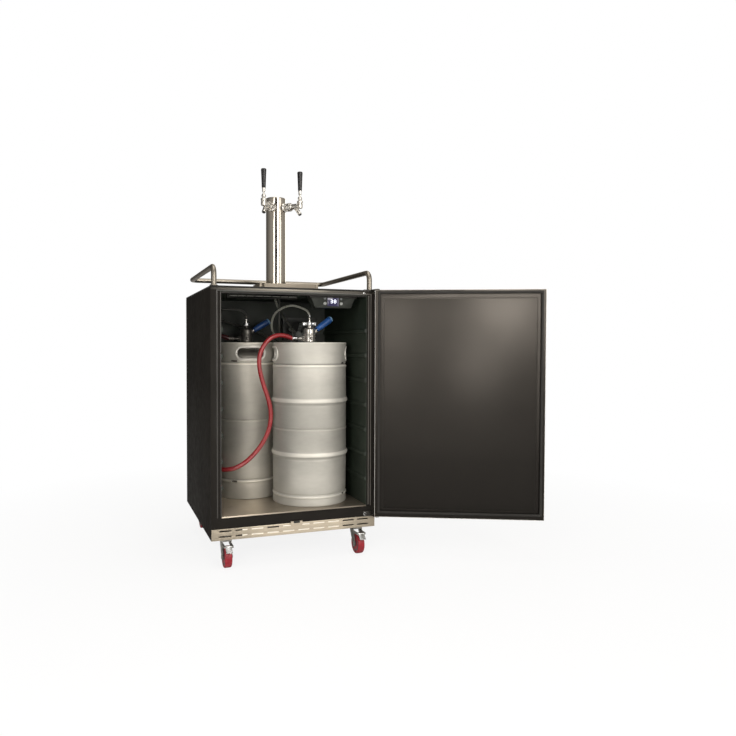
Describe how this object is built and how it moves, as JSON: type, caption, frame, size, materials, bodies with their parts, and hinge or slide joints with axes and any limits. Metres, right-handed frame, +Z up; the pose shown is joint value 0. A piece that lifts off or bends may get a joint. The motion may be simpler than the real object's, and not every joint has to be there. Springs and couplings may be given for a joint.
{
  "type": "kegerator",
  "caption": "Keg cooler cabinet on swivel casters, its hinged door standing open on coupled kegs, with a tap tower, drip tray and guard rail on top.",
  "frame": {"origin": "middle of the underside of the box round the whole object, with its door standing open", "axes": "+Z up, -Y out of the cabinet's front, +X to the right of someone who faces the front"},
  "size_m": [1.14, 0.9392, 1.4196],
  "materials": {
    "black_steel": "satin black, finely textured",
    "grey_steel": "plain zinc grey",
    "foam": "rigid foam",
    "liner": "satin black moulding",
    "stainless": "brushed",
    "dark_metal": "dark plated",
    "condenser_metal": "black fins",
    "black_plastic": "satin black",
    "grey_plastic": "plain grey",
    "window": "dark glossy window",
    "silver_plastic": "silver",
    "silver": "bright zinc",
    "chrome": "polished chrome",
    "polished": "polished stainless",
    "keg_steel": "satin stainless",
    "black_panel": "dark satin panel",
    "gasket_rubber": "soft seal",
    "blue_plastic": "blue grip",
    "red_hose": "smooth red hose",
    "clear_line": "cloudy clear tube",
    "tread": "red tread on a dark hub"
  },
  "bodies": {
    "cabinet": {"cabinet_shell": "black_steel", "rear_panel": "grey_steel", "insulation_foam": "foam", "inner_liner": "liner", "floor_plate": "stainless", "worktop": "black_steel", "base_pan": "grey_steel", "front_grille": "stainless", "door_catch": "dark_metal", "compressor": "black_steel", "condenser": "condenser_metal", "mains_inlet": "black_plastic", "control_housing": "black_plastic", "display_window": "window", "vent_strip": "grey_plastic", "fan_housing": "black_plastic", "gas_manifold": "chrome", "hinge_bracket_lower": "dark_metal", "hinge_bracket_upper": "dark_metal", "guard_rail": "stainless", "tower_base": "polished", "tower_column": "polished", "tower_cap": "polished", "shank_left": "chrome", "shank_right": "chrome", "faucet_left": "chrome", "faucet_right": "chrome", "drip_tray": "stainless", "keg_large": "keg_steel", "keg_slim": "keg_steel", "coupler_large": "chrome", "coupler_slim": "chrome", "gas_hose_large": "red_hose", "gas_hose_slim": "red_hose", "beer_line_large": "clear_line", "beer_line_slim": "clear_line"},
    "door": {"door_skin": "stainless", "door_foam": "foam", "door_panel": "black_panel", "door_gasket": "gasket_rubber", "door_handle": "stainless"},
    "tap_left": {"tap_lever_left": "chrome", "tap_handle_left": "black_plastic"},
    "tap_right": {"tap_lever_right": "chrome", "tap_handle_right": "black_plastic"},
    "coupler_lever_large": {"coupler_lever_large": "blue_plastic"},
    "coupler_lever_slim": {"coupler_lever_slim": "blue_plastic"},
    "button_left": {"button_left": "silver_plastic"},
    "button_right": {"button_right": "silver_plastic"},
    "fan": {"fan_rotor": "grey_plastic"},
    "fork_front_left": {"caster_fork_front_left": "black_steel"},
    "wheel_front_left": {"caster_wheel_front_left": "tread"},
    "fork_front_right": {"caster_fork_front_right": "black_steel"},
    "wheel_front_right": {"caster_wheel_front_right": "tread"},
    "fork_rear_left": {"caster_fork_rear_left": "black_steel"},
    "wheel_rear_left": {"caster_wheel_rear_left": "tread"},
    "fork_rear_right": {"caster_fork_rear_right": "black_steel"},
    "wheel_rear_right": {"caster_wheel_rear_right": "tread"},
    "brake_front_left": {"caster_brake_front_left": "silver"},
    "brake_front_right": {"caster_brake_front_right": "silver"}
  },
  "joints": [
    {"name": "door_hinge", "type": "hinge", "parent": "cabinet", "child": "door", "pos_m": [0.02248, -0.19887, 0.5555], "axis": [0, 0, 1], "range_deg": [-155.5, 0]},
    {"name": "tap_left_tilt", "type": "hinge", "parent": "cabinet", "child": "tap_left", "pos_m": [-0.3402, 0.0218, 1.3193], "axis": [0.788, -0.6157, 0], "range_deg": [0, 35]},
    {"name": "tap_right_tilt", "type": "hinge", "parent": "cabinet", "child": "tap_right", "pos_m": [-0.19983, 0.0218, 1.3193], "axis": [0.788, 0.6157, 0], "range_deg": [0, 35]},
    {"name": "coupler_large_pull", "type": "hinge", "parent": "cabinet", "child": "coupler_lever_large", "pos_m": [-0.14852, -0.00437, 0.8189], "axis": [0, 1, 0], "range_deg": [0, 40]},
    {"name": "coupler_slim_pull", "type": "hinge", "parent": "cabinet", "child": "coupler_lever_slim", "pos_m": [-0.35352, 0.16863, 0.8189], "axis": [0, 1, 0], "range_deg": [0, 34]},
    {"name": "button_left_press", "type": "slide", "parent": "cabinet", "child": "button_left", "axis": [0, 1, 0], "range_m": [0, 0.0012], "stiffness_N_per_m": 300},
    {"name": "button_right_press", "type": "slide", "parent": "cabinet", "child": "button_right", "axis": [0, 1, 0], "range_m": [0, 0.0012], "stiffness_N_per_m": 300},
    {"name": "fan_spin", "type": "hinge", "parent": "cabinet", "child": "fan", "pos_m": [-0.13002, 0.2765, 0.81], "axis": [0, -1, 0], "continuous": true},
    {"name": "swivel_front_left", "type": "hinge", "parent": "cabinet", "child": "fork_front_left", "pos_m": [-0.51302, -0.12037, 0.1057], "axis": [0, 0, 1], "continuous": true},
    {"name": "roll_front_left", "type": "hinge", "parent": "fork_front_left", "child": "wheel_front_left", "pos_m": [-0.51302, -0.14537, 0.03718], "axis": [1, 0, 0], "continuous": true},
    {"name": "swivel_front_right", "type": "hinge", "parent": "cabinet", "child": "fork_front_right", "pos_m": [-0.02702, -0.12037, 0.1057], "axis": [0, 0, 1], "continuous": true},
    {"name": "roll_front_right", "type": "hinge", "parent": "fork_front_right", "child": "wheel_front_right", "pos_m": [-0.02702, -0.14537, 0.03718], "axis": [1, 0, 0], "continuous": true},
    {"name": "swivel_rear_left", "type": "hinge", "parent": "cabinet", "child": "fork_rear_left", "pos_m": [-0.51302, 0.40963, 0.1057], "axis": [0, 0, 1], "continuous": true},
    {"name": "roll_rear_left", "type": "hinge", "parent": "fork_rear_left", "child": "wheel_rear_left", "pos_m": [-0.51302, 0.38463, 0.03718], "axis": [1, 0, 0], "continuous": true},
    {"name": "swivel_rear_right", "type": "hinge", "parent": "cabinet", "child": "fork_rear_right", "pos_m": [-0.02702, 0.40963, 0.1057], "axis": [0, 0, 1], "continuous": true},
    {"name": "roll_rear_right", "type": "hinge", "parent": "fork_rear_right", "child": "wheel_rear_right", "pos_m": [-0.02702, 0.38463, 0.03718], "axis": [1, 0, 0], "continuous": true},
    {"name": "brake_front_left_press", "type": "hinge", "parent": "fork_front_left", "child": "brake_front_left", "pos_m": [-0.51302, -0.17537, 0.07918], "axis": [1, 0, 0], "range_deg": [0, 18]},
    {"name": "brake_front_right_press", "type": "hinge", "parent": "fork_front_right", "child": "brake_front_right", "pos_m": [-0.02702, -0.17537, 0.07918], "axis": [1, 0, 0], "range_deg": [0, 18]}
  ]
}
